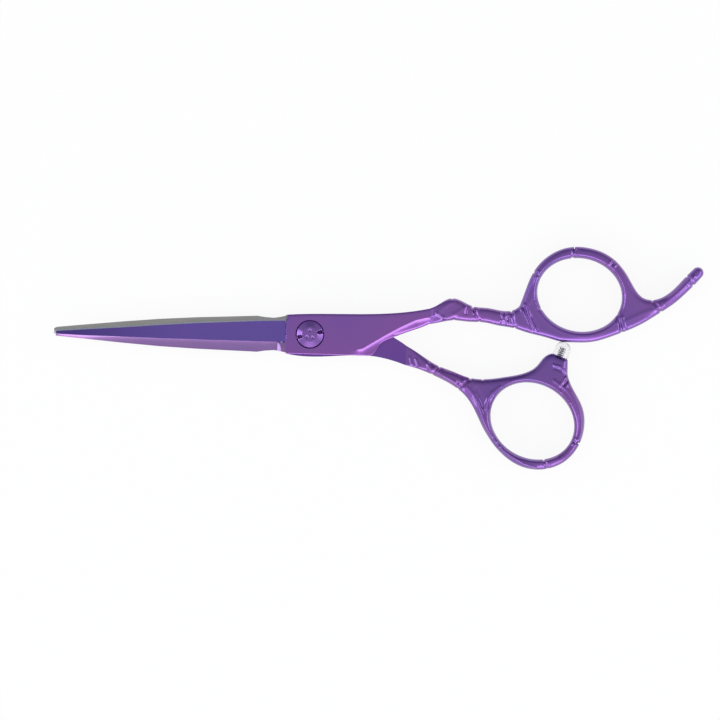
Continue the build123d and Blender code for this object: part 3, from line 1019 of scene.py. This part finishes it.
def set_stage():
    """A white floor just under the scissors, evenly bright to camera and reflections."""
    bm = bmesh.new()
    bmesh.ops.create_grid(bm, x_segments=2, y_segments=2, size=FLOOR_HALF)
    bmesh.ops.translate(bm, verts=bm.verts, vec=(0, 0, -FLOOR_DROP))
    floor = finish_mesh("floor", bm, 30)
    material, tree, main = shader("white_sweep")
    main.inputs["Base Color"].default_value = (0.9, 0.9, 0.9, 1)
    main.inputs["Roughness"].default_value = 0.9
    glow = node(tree, "ShaderNodeEmission")
    glow.inputs["Strength"].default_value = 1.0
    path = node(tree, "ShaderNodeLightPath")
    seen = node(tree, "ShaderNodeMath", operation="MAXIMUM")
    tree.links.new(path.outputs["Is Camera Ray"], seen.inputs[0])
    tree.links.new(path.outputs["Is Glossy Ray"], seen.inputs[1])
    through = node(tree, "ShaderNodeMath", operation="MAXIMUM")
    tree.links.new(seen.outputs[0], through.inputs[0])
    tree.links.new(path.outputs["Is Transmission Ray"], through.inputs[1])
    share = node(tree, "ShaderNodeMath", operation="MULTIPLY")
    share.inputs[1].default_value = FLOOR_GLOW
    tree.links.new(through.outputs[0], share.inputs[0])
    mix = node(tree, "ShaderNodeMixShader")
    tree.links.new(share.outputs[0], mix.inputs["Fac"])
    tree.links.new(main.outputs["BSDF"], mix.inputs[1])
    tree.links.new(glow.outputs["Emission"], mix.inputs[2])
    tree.links.new(mix.outputs["Shader"], tree.nodes["Material Output"].inputs["Surface"])
    floor.data.materials.append(material)


def softbox(name, place, size, power, turns):
    """A rectangular area lamp."""
    data = bpy.data.lights.new(name, "AREA")
    data.shape = "RECTANGLE"
    data.size, data.size_y = size
    data.energy = power
    lamp = bpy.data.objects.new(name, data)
    lamp.location = place
    lamp.rotation_euler = [math.radians(turn) for turn in turns]
    bpy.context.scene.collection.objects.link(lamp)


# Sky colours from the near side (0) over the zenith (0.5) to the far side (1).
SKY = (
    (0.001, (1.0, 0.96, 0.98)), (0.08, (0.78, 0.73, 0.76)), (0.16, (0.50, 0.50, 0.53)),
    (0.30, (0.45, 0.45, 0.46)), (0.5, (0.42, 0.42, 0.43)), (0.7, (0.33, 0.35, 0.36)),
    (0.85, (0.29, 0.30, 0.32)), (0.94, (0.17, 0.18, 0.21)), (1.0, (0.12, 0.13, 0.17)),
)
SKY_STRENGTH = 1.9
# Each lamp's name, place and size in metres, power in watts, and turns in degrees.
LAMPS = (
    ("near_low", (0, -1.1, 0.36), (1.8, 0.45), 5, (72, 0, 0)),
    ("side_left", (-1.0, -0.2, 0.45), (0.35, 1.2), 3.3, (0, -66, 0)),
    ("side_right", (1.0, -0.2, 0.45), (0.35, 1.2), 3.3, (0, 66, 0)),
)


def set_lights():
    """A soft sky, brighter on the near side, and three wide lamps."""
    world = bpy.data.worlds.new("studio")
    bpy.context.scene.world = world
    world.use_nodes = True
    tree = world.node_tree
    back = tree.nodes["Background"]
    place = node(tree, "ShaderNodeTexCoord")
    axes = node(tree, "ShaderNodeSeparateXYZ")
    tree.links.new(place.outputs["Generated"], axes.inputs["Vector"])
    side = node(tree, "ShaderNodeMapRange")
    side.inputs["From Min"].default_value = -1.0
    side.inputs["From Max"].default_value = 1.0
    tree.links.new(axes.outputs["Y"], side.inputs["Value"])
    ramp = node(tree, "ShaderNodeValToRGB")
    ramp.color_ramp.elements.remove(ramp.color_ramp.elements[1])
    for spot, level in SKY:
        stop = ramp.color_ramp.elements.new(spot)
        stop.color = (*level, 1)
    ramp.color_ramp.elements.remove(ramp.color_ramp.elements[0])
    tree.links.new(side.outputs["Result"], ramp.inputs["Fac"])
    tree.links.new(ramp.outputs["Color"], back.inputs["Color"])
    back.inputs["Strength"].default_value = SKY_STRENGTH
    for lamp in LAMPS:
        softbox(*lamp)


# The camera's place in metres and its turn in degrees, as in the photograph.
CAMERA_AT = (0.01333, -0.00662, 1.0624)
CAMERA_TURN = 0.72


def set_camera():
    """Looks straight down through a long lens, with the blades to the left."""
    data = bpy.data.cameras.new("camera")
    data.lens = 200
    data.sensor_width = 36
    camera = bpy.data.objects.new("camera", data)
    camera.location = CAMERA_AT
    camera.rotation_euler = (0, 0, math.radians(CAMERA_TURN))
    bpy.context.scene.collection.objects.link(camera)
    bpy.context.scene.camera = camera
    bpy.context.scene.view_settings.view_transform = "Standard"


set_camera()
set_stage()
set_lights()
carry_over()
front_finish(front_blade())
screw()
bumper()
handles()
